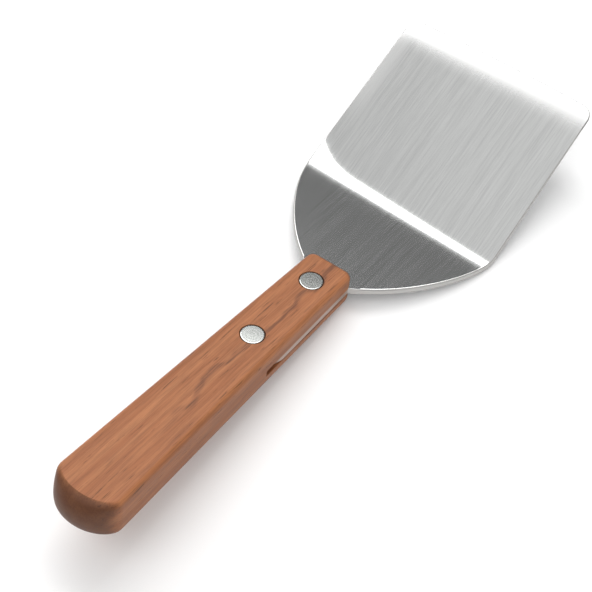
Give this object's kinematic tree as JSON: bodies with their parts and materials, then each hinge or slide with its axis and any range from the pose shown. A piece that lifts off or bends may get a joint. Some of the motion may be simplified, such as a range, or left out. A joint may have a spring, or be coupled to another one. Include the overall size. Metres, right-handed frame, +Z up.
{
  "type": "kitchen turner",
  "caption": "Short kitchen turner: a wide flat steel leaf bent up from a rounded shoulder, its half tang riveted into a tapered wooden handle.",
  "frame": {"origin": "centre of the turner's outline on the table that it lies on, where Z is 0", "axes": "+X towards the front edge of the leaf, +Z up from the table"},
  "size_m": [0.1952, 0.0642, 0.0266],
  "materials": {
    "blade": "brushed along its length",
    "wood": "satin, oiled",
    "rivet": "turned, satin"
  },
  "bodies": {
    "root": {"blade": "blade", "handle": "wood", "front_rivet_sleeve": "rivet", "front_rivet_post": "rivet", "rear_rivet_sleeve": "rivet", "rear_rivet_post": "rivet"}
  },
  "joints": []
}
